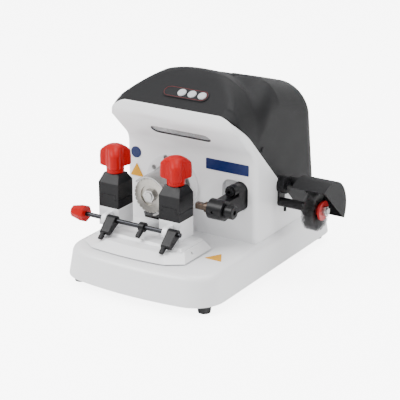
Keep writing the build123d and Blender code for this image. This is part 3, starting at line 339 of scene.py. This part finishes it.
panel_low, panel_high = (np.array(corner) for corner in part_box("control_panel"))
press = np.array(next(joint["axis"] for joint in frame["record"]["behaviour"]["joints"]
                      if joint["name"] == "lamp_press"))
panel_out = -press / np.linalg.norm(press)
panel_up = np.cross(panel_out, [1.0, 0.0, 0.0])
outline_red = skin_material("Outline_red", (0.10, 0.006, 0.008), (0.15, 0.01, 0.012), 0.4,
                            900.0, 100.0, 0.05, sheen=0.3)
outline_length, outline_width = 0.068, 0.0165
outline_centre = (panel_low + panel_high) / 2 + panel_out * 0.00095
ring_points, ring_faces = pill_ring(outline_length, outline_width, outline_centre,
                                    (1, 0, 0), panel_up, panel_out, 0.00035)
solid_from("panel_outline", ring_points, ring_faces, outline_red, "base", "cover_black")
finish_nodes(button_grey, "cutter_button", "brush_button", "lamp_button")
finish_nodes(board_green, "circuit_boards")

# ---------------------------------------------------------------- working lamp
# The lamp's diffuser is a long pill of clear plastic, moulded inside with small pyramids.
lens_clear = bpy.data.materials.new("Lamp_diffuser")
lens_clear.use_nodes = True
lens_tree = lens_clear.node_tree
lens_place = add_node(lens_tree, "ShaderNodeTexCoord")
lens_cells = add_node(lens_tree, "ShaderNodeTexVoronoi", Scale=420.0, Randomness=0.15)
# Each cell's colour runs from light grey at its middle to near black at its rim: painted light and shade of
# the clear pyramids, which have no colour of their own.
lens_ramp = add_node(lens_tree, "ShaderNodeValToRGB")
lens_ramp.color_ramp.elements[0].color = (0.50, 0.51, 0.52, 1)
lens_ramp.color_ramp.elements[0].position = 0.15
lens_ramp.color_ramp.elements[1].color = (0.10, 0.10, 0.11, 1)
lens_ramp.color_ramp.elements[1].position = 0.75
lens_bump = add_node(lens_tree, "ShaderNodeBump", Strength=0.5, Distance=0.0008)
lens_shader = lens_tree.nodes["Principled BSDF"]
lens_shader.inputs["Roughness"].default_value = 0.22
lens_shader.inputs["Coat Weight"].default_value = 0.6
lens_tree.links.new(lens_place.outputs["Object"], lens_cells.inputs["Vector"])
lens_tree.links.new(lens_cells.outputs["Distance"], lens_ramp.inputs["Fac"])
lens_tree.links.new(lens_ramp.outputs["Color"], lens_shader.inputs["Base Color"])
lens_tree.links.new(lens_cells.outputs["Distance"], lens_bump.inputs["Height"])
lens_tree.links.new(lens_bump.outputs["Normal"], lens_shader.inputs["Normal"])
finish_nodes(lens_clear, "lamp_lens")
lens_low, lens_high = (np.array(corner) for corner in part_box("lamp_lens"))
chin_out = np.array([0.0, -1.0, -1.0]) / math.sqrt(2)
chin_up = np.array([0.0, -1.0, 1.0]) / math.sqrt(2)
gasket_length, gasket_width = 0.0948, 0.0178
gasket_centre = (lens_low + lens_high) / 2 + chin_out * 0.0019
bezel_points, bezel_faces = pill_ring(gasket_length, gasket_width, gasket_centre,
                                      (1, 0, 0), chin_up, chin_out, 0.0010)
solid_from("lamp_gasket", bezel_points, bezel_faces, foot_rubber, "base", "cover_black")

# ---------------------------------------------------------------- signs
# Printed self-adhesive signs with no lettering: a dark blue plate, a blue disc and two triangles.
plate_blue = skin_material("Sign_blue", (0.004, 0.012, 0.075), (0.006, 0.018, 0.10), 0.34,
                           900.0, 200.0, 0.05, sheen=0.3)
sign_yellow = skin_material("Sign_yellow", (0.62, 0.28, 0.0), (0.70, 0.33, 0.0), 0.4,
                            900.0, 200.0, 0.05, sheen=0.3)
finish_nodes(plate_blue, "nameplate", "round_sign")
finish_nodes(sign_yellow, "warning_triangles")

# ---------------------------------------------------------------- cutter head
# Turned aluminium spindle housing with ground steel shaft, milling cutter and a bent guard ring.


def lines_group():
    """Tool marks: noise squeezed along one axis of Object coordinates gives a mask and a bump."""
    group, source, sink = new_group(
        "Tool_marks",
        [("Squeeze", "NodeSocketVector", (1.0, 1.0, 1.0)), ("Scale", "NodeSocketFloat", 400.0),
         ("Depth", "NodeSocketFloat", 0.1)],
        [("Mask", "NodeSocketFloat", None), ("Normal", "NodeSocketVector", None)])
    place = add_node(group, "ShaderNodeTexCoord")
    spread = add_node(group, "ShaderNodeVectorMath", operation="MULTIPLY")
    marks = add_node(group, "ShaderNodeTexNoise", Detail=5.0, Roughness=0.7)
    bump = add_node(group, "ShaderNodeBump", Distance=0.0003)
    group.links.new(place.outputs["Object"], spread.inputs[0])
    group.links.new(source.outputs["Squeeze"], spread.inputs[1])
    group.links.new(spread.outputs["Vector"], marks.inputs["Vector"])
    group.links.new(source.outputs["Scale"], marks.inputs["Scale"])
    group.links.new(source.outputs["Depth"], bump.inputs["Strength"])
    group.links.new(marks.outputs["Fac"], bump.inputs["Height"])
    group.links.new(marks.outputs["Fac"], sink.inputs["Mask"])
    group.links.new(bump.outputs["Normal"], sink.inputs["Normal"])
    return group


tool_marks = lines_group()


def turned_metal(name, dark, light, rough, squeeze, scale, depth=0.15):
    """Bare metal over Tool_marks: colour and roughness follow the marks."""
    made = bpy.data.materials.new(name)
    made.use_nodes = True
    tree = made.node_tree
    shader = tree.nodes["Principled BSDF"]
    marks = add_node(tree, "ShaderNodeGroup", node_tree=tool_marks)
    marks.inputs["Squeeze"].default_value = squeeze
    marks.inputs["Scale"].default_value = scale
    marks.inputs["Depth"].default_value = depth
    tint = add_node(tree, "ShaderNodeMix", data_type="RGBA")
    tint.inputs[6].default_value = (*dark, 1)
    tint.inputs[7].default_value = (*light, 1)
    gloss = add_node(tree, "ShaderNodeMapRange")
    gloss.inputs["To Min"].default_value = rough - 0.08
    gloss.inputs["To Max"].default_value = rough + 0.1
    tree.links.new(marks.outputs["Mask"], tint.inputs[0])
    tree.links.new(marks.outputs["Mask"], gloss.inputs["Value"])
    tree.links.new(tint.outputs[2], shader.inputs["Base Color"])
    tree.links.new(gloss.outputs["Result"], shader.inputs["Roughness"])
    tree.links.new(marks.outputs["Normal"], shader.inputs["Normal"])
    shader.inputs["Metallic"].default_value = 1.0
    return made


head_aluminium = turned_metal("Turned_aluminium", (0.50, 0.50, 0.50), (0.72, 0.72, 0.71), 0.34,
                              (0.2, 6.0, 0.2), 250.0)
ground_steel = turned_metal("Ground_steel", (0.36, 0.355, 0.35), (0.60, 0.60, 0.59), 0.28,
                            (0.3, 5.0, 0.3), 300.0)
cutter_steel = turned_metal("Cutter_steel", (0.30, 0.28, 0.25), (0.56, 0.54, 0.50), 0.3,
                            (1.0, 8.0, 1.0), 220.0)
# The guard's node holds the coated disc on the wall and the bare ring: depth from the wall tells them
# apart.
guard_metal = turned_metal("Guard_aluminium", (0.22, 0.215, 0.21), (0.50, 0.49, 0.48), 0.2,
                           (0.2, 6.0, 0.2), 250.0)
guard_tree = guard_metal.node_tree
guard_shader = guard_tree.nodes["Principled BSDF"]
guard_place = add_node(guard_tree, "ShaderNodeTexCoord")
guard_parts = add_node(guard_tree, "ShaderNodeSeparateXYZ")
guard_plate = add_node(guard_tree, "ShaderNodeMapRange", clamp=True)
guard_disc_face_y = wall_plane_y - 0.0035
guard_plate.inputs["From Min"].default_value = guard_disc_face_y - 0.0001
guard_plate.inputs["From Max"].default_value = guard_disc_face_y + 0.0001
guard_tint = add_node(guard_tree, "ShaderNodeMix", data_type="RGBA")
guard_tint.inputs[7].default_value = (0.84, 0.845, 0.86, 1)
guard_bare = add_node(guard_tree, "ShaderNodeMath", operation="SUBTRACT")
guard_bare.inputs[0].default_value = 1.0
guard_tree.links.new(guard_place.outputs["Object"], guard_parts.inputs["Vector"])
guard_tree.links.new(guard_parts.outputs["Y"], guard_plate.inputs["Value"])
guard_tree.links.new(guard_plate.outputs["Result"], guard_tint.inputs[0])
guard_tree.links.new(guard_shader.inputs["Base Color"].links[0].from_socket, guard_tint.inputs[6])
guard_tree.links.new(guard_tint.outputs[2], guard_shader.inputs["Base Color"])
guard_tree.links.new(guard_plate.outputs["Result"], guard_bare.inputs[1])
guard_tree.links.new(guard_bare.outputs["Value"], guard_shader.inputs["Metallic"])
finish_nodes(head_aluminium, "spindle_housing", "spindle_pulley", "motor_pulley")
finish_nodes(guard_metal, "cutter_guard")
finish_nodes(ground_steel, "spindle_shaft", "spindle_bearings", "head_screws", "cutter_nut")
finish_nodes(cutter_steel, "cutter_wheel")

# ---------------------------------------------------------------- motor and belt inside the housing
# A closed motor on a bent steel bracket drives the spindle through one flat rubber belt.
motor_grey = skin_material("Motor_enamel", (0.05, 0.052, 0.055), (0.08, 0.082, 0.085), 0.4,
                           900.0, 60.0, 0.15)
finish_nodes(plate_steel, "motor_bracket")
finish_nodes(motor_grey, "cutter_motor", "brush_motor")
finish_nodes(foot_rubber, "drive_belt")

# ---------------------------------------------------------------- tracer
# The tracer's arm is a black anodised block.  A hardened pin slides in its boss, set by a knurled knob.
black_anodised = skin_material("Black_anodised", (0.004, 0.004, 0.005), (0.008, 0.008, 0.009), 0.36,
                               2200.0, 120.0, 0.12, sheen=0.22)
tracer_bronze = turned_metal("Tracer_bronze", (0.05, 0.038, 0.030), (0.13, 0.10, 0.08), 0.36,
                             (6.0, 0.3, 0.3), 300.0)
finish_nodes(black_anodised, "tracer_arm", "tracer_adjuster", "tracer_clamp_screw", "set_screws",
             "chip_deflector")
finish_nodes(tracer_bronze, "tracer_pin")

# ---------------------------------------------------------------- brush unit
# A wire brush runs on a shaft out of the housing's right side, held between red flanges, under a
# black moulded hood that tilts on its pivot pin.
flange_red = skin_material("Flange_red", (0.36, 0.01, 0.012), (0.5, 0.02, 0.02), 0.35,
                           900.0, 150.0, 0.1)
finish_nodes(cover_black, "brush_hood")
finish_nodes(black_anodised, "brush_bracket")
finish_nodes(ground_steel, "brush_shaft", "brush_nut")
finish_nodes(flange_red, "brush_flanges")

bristle_wire = turned_metal("Bristle_wire", (0.05, 0.05, 0.051), (0.24, 0.24, 0.245), 0.4,
                            (1.0, 1.0, 1.0), 900.0)
wheel_low, wheel_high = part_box("brush_wheel")


def bristle_mesh(count, rows):
    """Crimped wires from the hub to the rim.

    Each wire is a four-sided strip: its radius runs straight from hub to end, its angle swings as a
    sine of its length, and it spreads sideways towards the rim.
    """
    rng = np.random.default_rng(4)
    middle = (np.array(wheel_low) + np.array(wheel_high)) / 2
    half = (wheel_high[0] - wheel_low[0]) / 2
    rim = (wheel_high[2] - wheel_low[2]) / 2
    hub = 0.0085
    shortest = 0.0042
    wire = 0.00022
    turn = rng.uniform(0, 2 * math.pi, (count, 1, 1))
    across = rng.uniform(-0.8, 0.8, (count, 1, 1)) * half
    t = np.linspace(0, 1, rows)[None, :, None]
    end = rim - shortest * rng.uniform(0, 1, (count, 1, 1)) ** 2
    radius = hub + (end - hub) * t
    swing = 0.014 * np.sin(t * 22 + turn * 9) * t + 0.07 * t * rng.uniform(-1, 1, (count, 1, 1))
    corner = np.array([0, 0.5, 1, 1.5])[None, None, :] * math.pi
    angle = turn + swing
    x = across * (0.6 + 0.62 * t) + wire * np.cos(corner)
    y = radius * np.cos(angle) - wire * np.sin(corner) * np.sin(angle)
    z = radius * np.sin(angle) + wire * np.sin(corner) * np.cos(angle)
    points = np.stack(np.broadcast_arrays(x, y, z), axis=-1).reshape(-1, 3) + middle
    index = np.arange(count * rows * 4).reshape(count, rows, 4)
    ahead = np.roll(index, -1, axis=2)
    sides = np.stack([index[:, :-1], ahead[:, :-1], ahead[:, 1:], index[:, 1:]], axis=-1).reshape(-1, 4)
    ends = np.concatenate([index[:, -1, :], index[:, 0, ::-1]])
    return points, [tuple(f) for f in np.concatenate([sides, ends]).tolist()]


wire_points, wire_faces = bristle_mesh(2600, 7)
solid_from("bristles", wire_points, wire_faces, bristle_wire, "brush", "bristle", "brush_wheel")

# ---------------------------------------------------------------- slides under the carriage
# Ground rods and an aluminium slide let the carriage move towards the cutter and along it.
finish_nodes(ground_steel, "rail_rods", "cross_rods", "clamp_studs")
finish_nodes(head_aluminium, "cross_slide", "slide_block")

# ---------------------------------------------------------------- carriage and vices
# The carriage is a white coated plate.  Each vice is a black anodised pair of jaws on a white post,
# closed by the knob on its stud.
finish_nodes(white_coat, "carriage_platform", "vice_posts")
finish_nodes(black_anodised, "lower_jaws", "upper_jaw_left", "upper_jaw_right")

# ---------------------------------------------------------------- clamp knobs
# Bright red three-lobed knobs, injection moulded, with a small raised boss on top.
knob_red = skin_material("Knob_red", (0.36, 0.0, 0.0), (0.44, 0.0, 0.001), 0.38,
                         900.0, 60.0, 0.05, sheen=0.16)
knob_half = 0.02
lobe_half = 7.6
first_lobe = math.radians(-58)


def knob_mesh(low, high, turns, rows):
    """Knob: at each height the outline is the larger of a core circle and three straight-sided lobes.

    A lobe of half width w and reach q at angle d from its middle line ends at w / sin d on its side
    and at L cos d + sqrt(w^2 - L^2 sin^2 d) on its round end, with L = q - w.
    """
    centre_x = (low[0] + high[0]) / 2
    centre_y = vice_mid_y
    b = np.linspace(0, 2 * math.pi, turns, endpoint=False)[None, :]
    share_z = [0.0, 0.0, 0.03, 0.16, 0.2, 0.215, 0.24, 0.5, 0.70, 0.76, 0.86, 0.94, 0.985, 1.0, 1.0]
    core = [0.0, 11.6, 12.2, 12.4, 12.6, 12.8, 13.0, 12.8, 12.6, 12.4, 12.2, 10.5, 7.5, 4.5, 0.0]
    reach = [0.0, 11.6, 12.2, 12.4, 13.2, 22.8, 23.8, 23.9, 23.2, 21.6, 17.0, 12.0, 8.0, 4.6, 0.0]
    step = np.arange(len(share_z))
    t = np.linspace(0, len(share_z) - 1, rows)
    z = np.interp(t, step, share_z)[:, None]
    inner = np.interp(t, step, core)[:, None]
    outer = np.maximum(np.interp(t, step, reach)[:, None], 0.01)
    half = np.minimum(lobe_half, outer * 0.6)
    third = 2 * math.pi / 3
    off = np.abs((b - first_lobe + third / 2) % third - third / 2)
    span = outer - half
    flank = half / np.maximum(np.sin(off), 1e-3)
    tip = span * np.cos(off) + np.sqrt(np.maximum(half ** 2 - (span * np.sin(off)) ** 2, 0))
    lobe = np.where(flank * np.cos(off) < span, flank, np.where(half > span * np.sin(off), tip, inner))
    flute = 0.10 * np.cos(36 * b) * np.clip((z - 0.24) * 20, 0, 1) * np.clip((0.72 - z) * 20, 0, 1)
    radius = (smooth_most(inner + 0 * b, lobe, 2.2) + flute) * np.where(outer > 0.02, 1.0, 0.0) / 1000
    x = centre_x + radius * np.cos(b)
    y = centre_y + radius * np.sin(b)
    height = np.broadcast_to(low[2] + z * (high[2] - low[2]), x.shape)
    points = np.stack([x, y, height], axis=-1)[1:-1].reshape(-1, 3)
    index = np.arange(len(points)).reshape(rows - 2, turns)
    ahead = np.roll(index, -1, axis=1)
    sides = np.stack([index[:-1], ahead[:-1], ahead[1:], index[1:]], axis=-1).reshape(-1, 4)
    foot, crown = len(points), len(points) + 1
    points = np.vstack([points, [centre_x, centre_y, low[2]], [centre_x, centre_y, high[2]]])
    faces = [tuple(f) for f in sides.tolist()]
    faces += [(foot, j, i) for i, j in zip(index[0].tolist(), ahead[0].tolist())]
    faces += [(crown, i, j) for i, j in zip(index[-1].tolist(), ahead[-1].tolist())]
    return points, faces


for hand in ("left", "right"):
    jaw_low, jaw_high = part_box(f"upper_jaw_{hand}")
    vice_mid_x, vice_mid_y = (jaw_low[0] + jaw_high[0]) / 2, (jaw_low[1] + jaw_high[1]) / 2
    low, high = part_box(f"clamp_knob_{hand}")
    low = (vice_mid_x - knob_half, low[1], low[2])
    high = (vice_mid_x + knob_half, high[1], high[2])
    knob_points, knob_faces = knob_mesh(low, high, 240, 120)
    solid_from(f"knob_{hand}", knob_points, knob_faces, knob_red, f"knob_{hand}", "knob_red",
               f"clamp_knob_{hand}", angle=50)

# ---------------------------------------------------------------- gauge rod
# A blued steel rod across the vices' front carries two key stops, a lever and a red plastic knob.
blued_steel = turned_metal("Blued_steel", (0.02, 0.021, 0.024), (0.06, 0.06, 0.065), 0.32,
                           (6.0, 0.4, 0.4), 300.0)
finish_nodes(blued_steel, "gauge_rod")
finish_nodes(black_anodised, "gauge_clips", "gauge_lever")
finish_nodes(knob_red, "gauge_knob")

# ---------------------------------------------------------------- connections at the back
# The appliance inlet and the main rocker switch snap into a small black plate behind the cover.
finish_nodes(cover_black, "rear_panel", "power_inlet", "rocker_switch")

# ---------------------------------------------------------------- floor, light and camera
# A plain pale sweep, two large soft lights with a fill, and the camera at the machine's front right.
floor_grey = bpy.data.materials.new("Floor_pale")
floor_grey.use_nodes = True
floor_tree = floor_grey.node_tree
floor_shader = floor_tree.nodes["Principled BSDF"]
floor_shader.inputs["Base Color"].default_value = (0.93, 0.93, 0.93, 1)
floor_shader.inputs["Roughness"].default_value = 0.5
floor_shader.inputs["Emission Color"].default_value = (1, 1, 1, 1)
floor_path = add_node(floor_tree, "ShaderNodeLightPath")
floor_glow = add_node(floor_tree, "ShaderNodeMapRange")
floor_glow.inputs["To Min"].default_value = 0.15
floor_glow.inputs["To Max"].default_value = 6.0
floor_tree.links.new(floor_path.outputs["Is Camera Ray"], floor_glow.inputs["Value"])
floor_tree.links.new(floor_glow.outputs["Result"], floor_shader.inputs["Emission Strength"])


def floor_mesh(width, near, far, rise, bend):
    """Sweep: a flat floor that turns up on a quarter circle of radius bend behind the machine."""
    turn = np.linspace(0, math.pi / 2, 24)
    y = np.concatenate([[-near], far - bend + bend * np.sin(turn), [far]])
    z = np.concatenate([[0], bend * (1 - np.cos(turn)), [rise]])
    left = np.stack([np.full(len(y), -width), y, z], axis=-1)
    right = np.stack([np.full(len(y), width), y, z], axis=-1)
    points = np.vstack([left, right])
    n = len(y)
    return points, [(i, n + i, n + i + 1, i + 1) for i in range(n - 1)]


floor_points, floor_faces = floor_mesh(6.0, 5.0, 3.5, 4.0, 1.5)
floor_data = bpy.data.meshes.new("floor")
floor_data.from_pydata(floor_points.tolist(), [], floor_faces)
floor_data.shade_smooth()
floor = bpy.data.objects.new("floor", floor_data)
floor_data.materials.append(floor_grey)
bpy.context.scene.collection.objects.link(floor)

world = bpy.data.worlds.new("Studio")
world.use_nodes = True
world.node_tree.nodes["Background"].inputs["Color"].default_value = (1, 1, 1, 1)
world.node_tree.nodes["Background"].inputs["Strength"].default_value = 0.95
bpy.context.scene.world = world


def soft_light(name, place, aim, size, power):
    """A square area light at place, turned to face aim."""
    data = bpy.data.lights.new(name, "AREA")
    data.size = size
    data.energy = power
    lamp = bpy.data.objects.new(name, data)
    lamp.location = place
    lamp.rotation_euler = (Vector(aim) - Vector(place)).to_track_quat("-Z", "Y").to_euler()
    bpy.context.scene.collection.objects.link(lamp)


soft_light("key_light", (-1.2, -1.3, 1.9), (0, 0, 0.12), 1.2, 62)
soft_light("side_light", (2.0, -0.6, 1.2), (0, 0, 0.12), 1.2, 9)
soft_light("top_light", (0.2, 0.6, 2.4), (0, 0, 0.1), 1.5, 52)

camera_data = bpy.data.cameras.new("camera")
camera_data.lens = 133.2
camera_data.sensor_width = 36
camera_data.clip_end = 30
camera = bpy.data.objects.new("camera", camera_data)
camera.location = (1.0183, -1.668, 0.8188)
camera.rotation_euler = (Vector((-0.1587, 0.2069, 0)) - camera.location).to_track_quat("-Z", "Y").to_euler()
bpy.context.scene.collection.objects.link(camera)
bpy.context.scene.camera = camera
bpy.context.view_layer.update()
